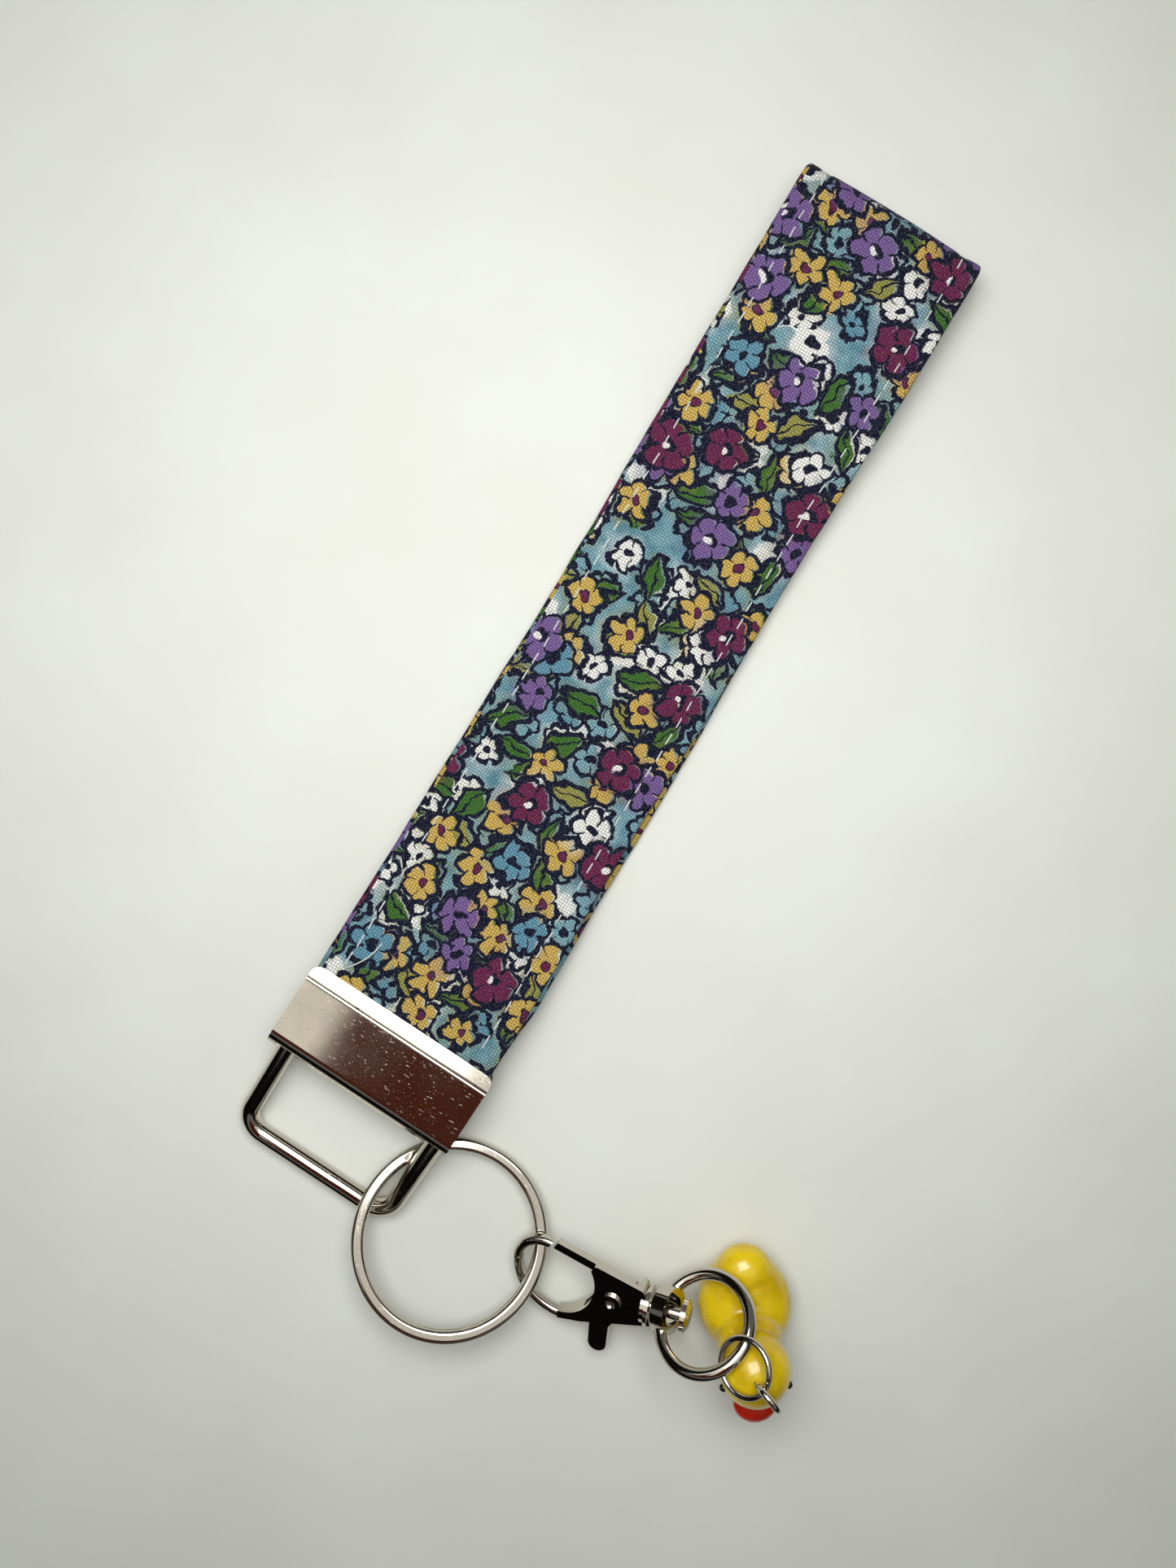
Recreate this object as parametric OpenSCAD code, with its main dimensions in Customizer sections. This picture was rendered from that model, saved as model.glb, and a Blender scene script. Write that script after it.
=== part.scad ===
/* [Strap] */
// Width of the strap
strap_width = 31; // [25:0.5:38]
// Thickness of one layer of strap
strap_thickness = 1.5; // [1:0.1:2.5]
// Length from the clamp's centre to the outside of the fold
strap_length = 150.5; // [110:0.5:180]
// Outside radius of the fold at the wrist end
fold_radius = 4.3; // [3.5:0.1:6]
// Thickness of the cotton on each side of the interfacing
cotton_thickness = 0.4; // [0.3:0.05:0.6]
// Distance of the topstitching from the strap's edge
stitch_inset = 3.4; // [2:0.1:5]
// Distance from one stitch to the next
stitch_pitch = 3; // [2:0.1:4]

/* [Clamp] */
// Width of the fob clamp
clamp_width = 32; // [26:0.5:40]
// Depth of the fob clamp along the strap
clamp_depth = 14.1; // [10:0.1:18]
// Thickness of the clamp's sheet metal
clamp_sheet = 0.8; // [0.5:0.1:1.2]
// Diameter of the clamp loop's wire
loop_wire = 3; // [2:0.1:4]
// Outside width of the clamp loop
loop_width = 29.8; // [24:0.1:36]
// Distance between the centres of the loop's two bars
loop_reach = 18.1; // [12:0.1:26]

/* [Split ring] */
// Outside diameter of the split ring
ring_diameter = 30; // [24:0.5:40]
// Radial width of the split ring's wire
ring_wire_width = 2; // [1.2:0.1:3]
// Axial height of one turn of the split ring's wire
ring_wire_height = 1.35; // [1:0.05:2]

/* [Clasp] */
// Thickness of the hook's nose
hook_thickness = 1.7; // [1.4:0.1:2.4]
// Thickness of the clasp's body across both cheeks
body_thickness = 3; // [2.6:0.1:4]
// Thickness of the gate lever
lever_thickness = 1.2; // [1:0.1:1.6]
// Outside diameter of the swivel ring
swivel_ring_diameter = 16; // [12:0.2:20]
// Diameter of the swivel ring's wire
swivel_wire = 1.9; // [1.4:0.1:2.4]

/* [Charm] */
// Outside diameter of the jump ring
jump_diameter = 8.8; // [7:0.1:11]
// Diameter of the jump ring's wire
jump_wire = 0.9; // [0.7:0.1:1.2]
// Outside diameter of the screw eye's loop
eye_diameter = 5; // [4:0.1:6]
// Diameter of the screw eye's wire
eye_wire = 1; // [0.8:0.1:1.3]
// Width of the duck's body
duck_width = 14.4; // [10:0.2:18]

/* [Hidden] */

// The clamp's centre lies behind the origin, which is under the middle of the resting strap.
clamp_y = -90;
// The clamp sits a little askew on the strap.
clamp_turn = -2;
// The loop has slid to one side in the roll.
loop_shift = 0.5;
roll_radius = loop_wire / 2 + 0.06 + clamp_sheet;
clamp_z = 7.4;
roll_y = -clamp_depth / 2 + roll_radius;
loop_tilt = asin((clamp_z - loop_wire / 2 - 0.05) / loop_reach);

// Heights of the strap's lower and upper layers along its length.
low_rest = strap_thickness / 2;
low_clamp = clamp_z - strap_thickness / 2 - 0.02;
high_clamp = clamp_z + strap_thickness / 2 + 0.02;
high_rest = 3 * strap_thickness / 2 + 0.3;
fold_middle = fold_radius - strap_thickness / 2;
fold_y = strap_length - fold_radius;
high_fold = low_rest + 2 * fold_middle;

ring_middle = ring_diameter / 2 - ring_wire_width / 2;
ring_step = ring_wire_height + 0.06;
ring_tilt = 14;
ring_centre = [23.3, -19.45, 4.84];

clasp_origin = [48.9, -13.1, 7.05];
clasp_heading = 22;
clasp_pitch = 16.5;
clasp_roll = 20;

swivel_line = 0.15;
swivel_centre = [56.25, -9.87, 9.19];
swivel_turn = [-35.6, -35, 26.9];

jump_middle = (jump_diameter - jump_wire) / 2;
jump_centre = [67.14, -7.91, 18.86];
jump_turn = [0, -39.4, 17.7];

duck_origin = [66.9, -4.0, 0];
duck_heading = -56;
head_radius = 5.3;
head_u = 6.2;
head_w = 13.8;
bill_drop = 14;

eye_middle = (eye_diameter - eye_wire) / 2;
eye_shank = 0.8;
eye_root = [5.84, -0.30, 19.08];
eye_turn = [-12.7, 22.9, 31.7];

// Smooth step from 0 to 1 between a and b.
function ease(t, a, b) = t <= a ? 0 : t >= b ? 1 : (1 - cos(180 * (t - a) / (b - a))) / 2;
function low_height(y) = low_clamp + (low_rest - low_clamp) * ease(y, 8, 46);
function high_height(y) = high_clamp + (high_rest - high_clamp) * ease(y, 8, 50)
    + (high_fold - high_rest) * ease(y, 86, fold_y - 9);

// Middle line of the strap's path, from the lower end round the fold to the upper end.
strap_start = roll_y + loop_wire / 2 + 0.7;
path = concat(
    [for (i = [0:60]) let(y = strap_start + (fold_y - strap_start) * i / 60) [y, low_height(y)]],
    [for (a = [-80:10:80]) [fold_y + fold_middle * cos(a), low_rest + fold_middle + fold_middle * sin(a)]],
    [for (i = [60:-1:0]) let(y = strap_start + (fold_y - strap_start) * i / 60) [y, high_height(y)]]);

function path_way(i) = let(a = path[max(i - 1, 0)], b = path[min(i + 1, len(path) - 1)])
    (b - a) / norm(b - a);
function path_side(i, d) = let(w = path_way(i)) path[i] + d * [w[1], -w[0]];
function path_length(i) = i == 0 ? 0 : path_length(i - 1) + norm(path[i] - path[i - 1]);
lengths = [for (i = [0:len(path) - 1]) path_length(i)];
strap_total = lengths[len(path) - 1];

// Index of the path's piece that holds the distance s, and the point and angle there.
function piece_at(s) = max([for (i = [0:len(path) - 2]) if (lengths[i] <= s) i]);
function point_at(s, d) = let(i = piece_at(s), f = (s - lengths[i]) / (lengths[i + 1] - lengths[i]))
    path_side(i, d) * (1 - f) + path_side(i + 1, d) * f;
function angle_at(s) = let(i = piece_at(s), w = path[i + 1] - path[i]) atan2(w[1], w[0]);

// Places a shape drawn in the YZ plane and extruded along X, centred on the strap.
module along_x(width) {
    translate([-width / 2, clamp_y, 0])
    rotate([90, 0, 90])
    linear_extrude(width)
    children();
}

module strap_profile(half) {
    strap_band(-half, half);
}

// Band that follows the strap's path between two distances outside its middle line.
module strap_band(inner, outer) {
    last = len(path) - 1;
    polygon(concat([for (i = [0:last]) path_side(i, outer)], [for (i = [last:-1:0]) path_side(i, inner)]));
}

module strap_cover() {
    color([0.55, 0.7, 0.74])
    difference() {
        along_x(strap_width)
        strap_profile(strap_thickness / 2);
        along_x(strap_width - 2.4)
        strap_profile(strap_thickness / 2 - cotton_thickness);
        // The topstitching pulls a shallow groove into the outside face.
        for (side = [-1, 1])
        translate([side * (strap_width / 2 - stitch_inset), 0, 0])
        along_x(0.8)
        strap_band(strap_thickness / 2 - 0.24, strap_thickness / 2 + 0.5);
    }
}

module strap_core() {
    color([0.92, 0.92, 0.9])
    along_x(strap_width - 2.5)
    strap_profile(strap_thickness / 2 - cotton_thickness - 0.03);
}

// One row of stitches on the outside face, from the lower lip of the clamp to the upper one.
module stitch_row(x) {
    first = 12;
    count = floor((strap_total - 2 * first) / stitch_pitch);
    half = stitch_pitch / 2 - 0.3;
    steps = [-half, -half / 3, half / 3, half];
    outer = strap_thickness / 2;
    translate([x, 0, 0])
    for (i = [0:count]) {
        s = first + i * stitch_pitch;
        along_x(0.5)
        polygon(concat([for (t = steps) point_at(s + t, outer)],
                       [for (t = steps) point_at(s - t, outer - 0.2)]));
    }
}

module stitch_left() {
    color([0.97, 0.97, 0.95])
    stitch_row(-strap_width / 2 + stitch_inset);
}

module stitch_right() {
    color([0.97, 0.97, 0.95])
    stitch_row(strap_width / 2 - stitch_inset);
}

module clamp_place() {
    translate([0, clamp_y - 0.5, 0])
    rotate([0, 0, clamp_turn])
    translate([0, -clamp_y, 0])
    children();
}

// Stamped sheet folded to a U round the loop's bar, with the mouth pressed onto the strap.
module clamp_shell() {
    slot = loop_wire + 0.6;
    leg = loop_width / 2 - loop_wire / 2;
    color([0.72, 0.7, 0.67])
    clamp_place()
    difference() {
        union() {
            along_x(clamp_width)
            difference() {
                union() {
                    translate([roll_y, clamp_z])
                    circle(roll_radius, $fn = 64);
                    translate([roll_y, clamp_z - roll_radius])
                    square([clamp_depth / 2 - roll_y, 2 * roll_radius]);
                }
                translate([roll_y, clamp_z])
                circle(roll_radius - clamp_sheet, $fn = 64);
                translate([roll_y, clamp_z - roll_radius + clamp_sheet])
                square([clamp_depth, 2 * (roll_radius - clamp_sheet)]);
            }
            // Lips turned in at the mouth.
            for (side = [-1, 1])
            translate([-clamp_width / 2 + 0.5, clamp_y + clamp_depth / 2 - 0.35,
                       clamp_z + side * (roll_radius - clamp_sheet / 2)])
            rotate([0, 90, 0])
            cylinder(r = clamp_sheet / 2 + 0.02, h = clamp_width - 1, $fn = 24);
        }
        // Pressed groove along the mouth.
        for (side = [-1, 1])
        translate([-clamp_width / 2 - 1, clamp_y + clamp_depth / 2 - 2.4,
                   clamp_z + side * (roll_radius + 0.25)])
        rotate([0, 90, 0])
        cylinder(r = 0.5, h = clamp_width + 2, $fn = 24);
        // The strip beyond the groove slopes down to the mouth.
        for (side = [0, 1])
        translate([-clamp_width / 2 - 1, clamp_y + clamp_depth / 2 - 1.95, clamp_z])
        mirror([0, 0, side])
        translate([0, 0, roll_radius])
        rotate([-8, 0, 0])
        cube([clamp_width + 2, 4, 1]);
        // Slots for the loop's legs.
        for (side = [-1, 1])
        translate([side * leg + loop_shift - slot / 2, clamp_y - clamp_depth / 2 - 1, clamp_z - roll_radius - 1])
        cube([slot, 1 + clamp_depth / 2 + roll_y + loop_wire / 2 + 0.2, 2 * roll_radius + 0.4]);
        // Rounded corners at the mouth.
        for (side = [-1, 1])
        translate([side * (clamp_width / 2 - 1.4), clamp_y + clamp_depth / 2 - 1.4, 0])
        difference() {
            translate([side > 0 ? 0 : -3, 0, 0])
            cube([3, 3, 12]);
            cylinder(r = 1.4, h = 12, $fn = 32);
        }
    }
}

// Straight wire between two points in the plane z = 0.
module wire(a, b, r) {
    d = b - a;
    translate([a[0], a[1], 0])
    rotate([0, 0, atan2(d[1], d[0])])
    rotate([0, 90, 0])
    cylinder(r = r, h = norm(d), $fn = 32);
}

// Bent wire, an arc of the given radius round a centre in the plane z = 0.
module bend(c, radius, start, sweep, r) {
    translate([c[0], c[1], 0])
    rotate([0, 0, start])
    rotate_extrude(angle = sweep, $fn = 96)
    translate([radius, 0])
    circle(r, $fn = 32);
}

module clamp_loop() {
    r = loop_wire / 2;
    w = loop_width / 2 - r;
    near = 1.7;
    far = 3.6;
    color([0.7, 0.69, 0.67])
    clamp_place()
    translate([loop_shift, clamp_y + roll_y, clamp_z])
    rotate([loop_tilt, 0, 0])
    mirror([0, 1, 0]) {
        wire([-w + near, 0], [w - near, 0], r);
        wire([-w + far, loop_reach], [w - far, loop_reach], r);
        for (side = [0, 1])
        mirror([side, 0, 0]) {
            wire([w, near], [w, loop_reach - far], r);
            bend([w - near, near], near, -90, 90, r);
            bend([w - far, loop_reach - far], far, 0, 90, r);
        }
    }
}

// Section of the split ring's wire, flat with round edges.
module ring_section() {
    translate([ring_middle, 0]) {
        square([ring_wire_width - ring_wire_height, ring_wire_height], center = true);
        for (side = [-1, 1])
        translate([side * (ring_wire_width - ring_wire_height) / 2, 0])
        circle(ring_wire_height / 2, $fn = 32);
    }
}

// Two turns of wire that step from one level to the other beside the coil's ends.
module split_ring() {
    cross = 26;
    slope = asin(ring_step / 2 / (ring_middle * sin(cross / 2)));
    color([0.72, 0.71, 0.69])
    translate([ring_centre[0], clamp_y + ring_centre[1], ring_centre[2]])
    rotate([-ring_tilt, 0, 0])
    rotate([0, 0, 152]) {
        translate([0, 0, -ring_step / 2])
        rotate_extrude(angle = 360 - cross, $fn = 180)
        ring_section();
        translate([0, 0, ring_step / 2])
        rotate_extrude(angle = 360 - cross, $fn = 180)
        ring_section();
        rotate([0, 0, -cross / 2])
        rotate([slope, 0, 0])
        rotate([0, 0, -cross / 2 - 1])
        rotate_extrude(angle = cross + 2, $fn = 180)
        ring_section();
    }
}

// Clasp frame: U along its length, V across the hook, W through its thickness.
module clasp_place() {
    translate([clasp_origin[0], clamp_y + clasp_origin[1], clasp_origin[2]])
    rotate([0, 0, clasp_heading])
    rotate([0, -clasp_pitch, 0])
    rotate([clasp_roll, 0, 0])
    children();
}

// Section of the hook's nose, flat with rounded edges.
module nose_section(radius, width) {
    r = 0.6;
    translate([radius, 0]) {
        square([width - 2 * r, hook_thickness], center = true);
        square([width, hook_thickness - 2 * r], center = true);
        for (a = [-1, 1], b = [-1, 1])
        translate([a * (width / 2 - r), b * (hook_thickness / 2 - r)])
        circle(r, $fn = 24);
    }
}

// Outline of a cheek, with the hook's opening cut out of its front.
module cheek_outline() {
    difference() {
        union() {
            polygon([[-3.2, 5.1], [-2.4, 5.62], [4.4, 3.7], [5, 3.2], [6.2, -2.3], [-8.6, -6.3],
                     [-8.6, -4.2]]);
            translate([-2.6, 5])
            circle(0.64, $fn = 32);
            translate([4.3, 3.06])
            circle(0.66, $fn = 32);
        }
        translate([-9.4, 1.6])
        circle(6.65, $fn = 120);
    }
}

module hook_body() {
    color([0.66, 0.65, 0.64])
    clasp_place()
    difference() {
        union() {
            // Nose, from its free end round to the lower band.
            translate([-11.55, 2.5, 0])
            rotate([0, 0, 66])
            rotate_extrude(angle = 116, $fn = 120)
            nose_section(4.2, 1.45);
            translate([-7.6, 2.2, 0])
            rotate([0, 0, 176])
            rotate_extrude(angle = 90, $fn = 160)
            nose_section(8.1, 1.45);
            // Two cheeks and what joins them.
            translate([0, 0, -body_thickness / 2])
            linear_extrude(body_thickness)
            cheek_outline();
            // Neck.
            translate([4.6, swivel_line, 0])
            rotate([0, 90, 0])
            cylinder(r = 2.6, h = 1.1, $fn = 64);
            translate([5.3, swivel_line, 0])
            rotate([0, 90, 0])
            cylinder(r = 3, h = 0.55, $fn = 64);
        }
        // The lower band grows thicker towards the cheeks.
        for (side = [0, 1])
        mirror([0, 0, side])
        translate([0, -2.6, 0])
        rotate([90, 0, 0])
        linear_extrude(6)
        polygon([[-9.5, hook_thickness / 2], [-4.6, body_thickness / 2 + 0.02], [-9.5, 4]]);
        // Slot between the cheeks, open above for the lever and below for its tab.
        translate([0, 0, -lever_thickness / 2 - 0.12])
        linear_extrude(lever_thickness + 0.24)
        polygon([[-4.5, 7], [4.2, 7], [4.2, -1], [2.9, -2.6], [2.9, -8], [-5.4, -8], [-5.4, -4.6],
                 [-4.5, -3.4]]);
        // The rear cheek is lower than the front one.
        translate([0, 0, -3 - lever_thickness / 2])
        linear_extrude(3)
        polygon([[-6, 3.9], [4.2, 1.9], [4.2, 8], [-6, 8]]);
        // Seat of the rivet.
        translate([0, 0, -body_thickness])
        cylinder(r = 0.9, h = 2 * body_thickness, $fn = 48);
        // Bore of the swivel's post, with room for its foot.
        translate([3.9, swivel_line, 0])
        rotate([0, 90, 0])
        cylinder(r = 1.06, h = 6, $fn = 48);
        // End of the nose, cut along the gate's path.
        translate([-9.5, 7.9, -5])
        rotate([0, 0, 236])
        translate([-3, 0, 0])
        cube([8, 4, 10]);
    }
}

module gate_lever() {
    color([0.7, 0.69, 0.68])
    clasp_place()
    difference() {
        union() {
            // Gate and the arm behind the rivet.
            translate([0, 0, -lever_thickness / 2])
            linear_extrude(lever_thickness)
            polygon([[-9.2, 7.3], [-9.9, 6.15], [-3.2, 4.1], [-1.7, 2.6], [-1.9, -2], [-3.45, -5.6],
                     [-3.45, -9.2], [-0.55, -9.2], [-0.4, -5.6], [1.9, -2], [1.8, 1.2], [3.3, 2.5],
                     [3.5, 3.2], [3.2, 3.6]]);
            // Thumb tab's round end.
            translate([-2, -9.2, -lever_thickness / 2])
            cylinder(r = 1.45, h = lever_thickness, $fn = 48);
        }
        translate([0, 0, -lever_thickness])
        cylinder(r = 0.94, h = 2 * lever_thickness, $fn = 48);
    }
}

module gate_rivet() {
    color([0.75, 0.74, 0.72])
    clasp_place()
    difference() {
        union() {
            translate([0, 0, -body_thickness / 2 - 0.3])
            cylinder(r = 0.88, h = body_thickness + 0.6, $fn = 48);
            for (side = [-1, 1])
            translate([0, 0, side > 0 ? body_thickness / 2 + 0.02 : -body_thickness / 2 - 0.42])
            cylinder(r = 1.5, h = 0.4, $fn = 48);
        }
        for (side = [-1, 1])
        translate([0, 0, side * (body_thickness / 2 + 0.9)])
        sphere(r = 0.9, $fn = 48);
    }
}

// Tight coil between the lever's rear end and the body.
module gate_spring() {
    color([0.6, 0.6, 0.6])
    clasp_place()
    translate([2.5, 0.9, 0])
    rotate([0, 90, -25])
    rotate_extrude($fn = 40) {
        for (i = [0:5])
        translate([0.42, i * 0.24])
        circle(0.14, $fn = 16);
        translate([0.38, 0])
        square([0.08, 1.2]);
    }
}

module swivel_post() {
    color([0.75, 0.74, 0.72])
    clasp_place()
    translate([0, swivel_line, 0])
    rotate([0, 90, 0]) {
        translate([0, 0, 4.9])
        cylinder(r = 1, h = 5.9, $fn = 48);
        translate([0, 0, 10.7])
        cylinder(r = 2.5, h = 0.7, $fn = 64);
        translate([0, 0, 11.4])
        cylinder(r1 = 2.5, r2 = 1.5, h = 0.5, $fn = 64);
    }
}

// Swivel frame: U along the eye, with its collar's middle at the origin.
module swivel_place() {
    translate([swivel_centre[0], clamp_y + swivel_centre[1], swivel_centre[2]])
    rotate([0, 0, swivel_turn[2]])
    rotate([0, swivel_turn[1], 0])
    rotate([swivel_turn[0], 0, 0])
    children();
}

module swivel_eye() {
    r = swivel_wire / 2;
    m = swivel_ring_diameter / 2 - r;
    color([0.7, 0.69, 0.68])
    swivel_place()
    difference() {
        union() {
            rotate([0, 90, 0])
            translate([0, 0, -1.1])
            cylinder(r = 3.4, h = 2.2, $fn = 72);
            translate([m * 0.9, 0, 0])
            rotate([0, 0, -154])
            rotate_extrude(angle = 308, $fn = 140)
            translate([m, 0])
            circle(r, $fn = 32);
        }
        rotate([0, 90, 0])
        translate([0, 0, -3])
        cylinder(r = 2.2, h = 6, $fn = 56);
    }
}

module jump_ring() {
    color([0.75, 0.74, 0.73])
    translate([jump_centre[0], clamp_y + jump_centre[1], jump_centre[2]])
    rotate(jump_turn)
    rotate([0, 0, 60])
    rotate_extrude(angle = 359, $fn = 96)
    translate([jump_middle, 0])
    circle(jump_wire / 2, $fn = 24);
}

// Duck frame: U towards its bill, V to its left, W up.
module duck_place() {
    translate([duck_origin[0], clamp_y + duck_origin[1], duck_origin[2]])
    rotate([0, 0, duck_heading])
    children();
}

module screw_eye() {
    color([0.75, 0.74, 0.73])
    duck_place()
    translate(eye_root)
    rotate(eye_turn) {
        translate([0, 0, -2.5])
        cylinder(r = 0.5, h = 2.5 + eye_shank + 0.3, $fn = 24);
        translate([0, 0, eye_shank + eye_middle])
        rotate([90, 0, 0])
        rotate([0, 0, -90])
        rotate_extrude(angle = 345, $fn = 72)
        translate([eye_middle, 0])
        circle(eye_wire / 2, $fn = 24);
    }
}

// Egg that is revolved about U, with a blunt front and a slimmer rear.
function egg(t, front, rear, r) = [(cos(t) > 0 ? front : rear) * cos(t), r * sin(t)];

module revolved_egg(front, rear, r) {
    rotate([0, 90, 0])
    rotate_extrude($fn = 96)
    rotate(90)
    polygon([for (i = [0:36]) egg(5 * i, front, rear, r)]);
}

// A cone with a round end, along U.
module taper(from, r1, to, r2) {
    translate([from, 0, 0])
    rotate([0, 90, 0])
    cylinder(r1 = r1, r2 = r2, h = to - from, $fn = 72);
}

module duck_solid() {
    wing = duck_width / 2 - 5.2;
    // Body with its two wings.
    for (side = [-1, 1])
    translate([0.8, side * wing, 4.85])
    revolved_egg(6.6, 8.2, 5.2);
    // Tail.
    translate([-5.6, 0, 6.9])
    rotate([0, 22, 0])
    revolved_egg(3.8, 3, 3.3);
    // Neck.
    translate([4.2, 0, 4.6])
    rotate([0, 14, 0])
    cylinder(r1 = 5.2, r2 = 4.1, h = 6.5, $fn = 72);
    // Head.
    translate([head_u, 0, head_w])
    sphere(head_radius, $fn = 96);
    // Face, narrowing to the bill.
    translate([head_u, 0, head_w])
    rotate([0, bill_drop, 0])
    taper(3.6, 4, 5.6, 3.25);
}

module duck_body() {
    color([0.83, 0.68, 0.1])
    duck_place()
    difference() {
        duck_solid();
        translate([-20, -20, -20])
        cube([40, 40, 20]);
        // Hole of the screw eye.
        translate(eye_root)
        rotate(eye_turn)
        translate([0, 0, -2.6])
        cylinder(r = 0.53, h = 8, $fn = 24);
        // Sockets of the eyes.
        duck_eye_balls(0.62);
    }
}

module duck_bill() {
    color([0.7, 0.12, 0.07])
    duck_place()
    translate([head_u, 0, head_w])
    rotate([0, bill_drop, 0])
    difference() {
        intersection() {
            union() {
                taper(5.62, 3.2, 7, 2.4);
                translate([7, 0, 0])
                revolved_egg(1.5, 1.5, 2.4);
            }
            translate([5.62, -4, -2.3])
            cube([8, 8, 4.7]);
        }
        // Line of the mouth.
        for (side = [-1, 1])
        translate([6.4, side * 4.4, -0.5])
        rotate([0, 90, -side * 24])
        cylinder(r = 0.25, h = 6, center = true, $fn = 24);
    }
}

module duck_eye_balls(r) {
    for (side = [-1, 1])
    translate([head_u + 2, side * 4.75, head_w + 0.9])
    sphere(r, $fn = 40);
}

module duck_eyes() {
    color([0.05, 0.04, 0.04])
    duck_place()
    duck_eye_balls(0.6);
}

strap_cover();
strap_core();
stitch_left();
stitch_right();
clamp_shell();
clamp_loop();
split_ring();
hook_body();
gate_lever();
gate_rivet();
gate_spring();
swivel_post();
swivel_eye();
jump_ring();
screw_eye();
duck_body();
duck_bill();
duck_eyes();
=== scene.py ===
import bpy, bmesh, math, random
from mathutils import Euler, Matrix, Vector


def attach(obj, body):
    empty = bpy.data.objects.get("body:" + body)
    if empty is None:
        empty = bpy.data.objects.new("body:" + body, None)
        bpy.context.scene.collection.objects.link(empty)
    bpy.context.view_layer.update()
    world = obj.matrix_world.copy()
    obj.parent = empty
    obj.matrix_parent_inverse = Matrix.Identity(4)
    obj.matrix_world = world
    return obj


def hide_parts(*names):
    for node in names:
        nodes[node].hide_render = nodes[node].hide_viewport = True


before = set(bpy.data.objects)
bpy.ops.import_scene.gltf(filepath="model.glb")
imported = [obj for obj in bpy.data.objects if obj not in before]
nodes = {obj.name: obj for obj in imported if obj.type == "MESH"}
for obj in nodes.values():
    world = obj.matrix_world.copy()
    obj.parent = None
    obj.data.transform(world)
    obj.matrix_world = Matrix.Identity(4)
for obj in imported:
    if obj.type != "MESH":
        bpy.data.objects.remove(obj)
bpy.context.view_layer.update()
mm = 0.001

maths, mixer, mapper, vectors = "ShaderNodeMath", "ShaderNodeMix", "ShaderNodeMapRange", "ShaderNodeVectorMath"
noises, coordinates = "ShaderNodeTexNoise", "ShaderNodeTexCoord"


# Linear colour of an sRGB hex code.
def linear(code):
    out = []
    for i in (1, 3, 5):
        c = int(code[i:i + 2], 16) / 255
        out.append(c / 12.92 if c <= 0.04045 else ((c + 0.055) / 1.055) ** 2.4)
    return (*out, 1.0)


# Adds a node with its settings, and its inputs given as values, nodes or sockets.
def node(tree, kind, inputs=(), **settings):
    made = tree.nodes.new(kind)
    for name, value in settings.items():
        setattr(made, name, value)
    pairs = inputs.items() if isinstance(inputs, dict) else enumerate(inputs)
    for key, value in pairs:
        if isinstance(value, bpy.types.Node):
            value = value.outputs[0]
        if isinstance(value, bpy.types.NodeSocket):
            tree.links.new(value, made.inputs[key])
        else:
            made.inputs[key].default_value = value
    return made


# A new material, its node tree and its main shader.
def material(name):
    made = bpy.data.materials.new(name)
    made.use_nodes = True
    return made, made.node_tree, made.node_tree.nodes["Principled BSDF"]


printed = {"ground": "#7FA9B6", "shadow": "#5E8D9C", "ink": "#070C2A", "plum": "#6B2149", "lilac": "#7B5F99",
           "yellow": "#D2B05A", "white": "#F6F5EF", "blue": "#6496AC", "green": "#3D6D25", "olive": "#98954A",
           "bareYarn": "#C9D2D2"}
weave = {"pitch": 0.45, "depth": 0.06}  # one thread's width and how far it stands up, mm


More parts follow.
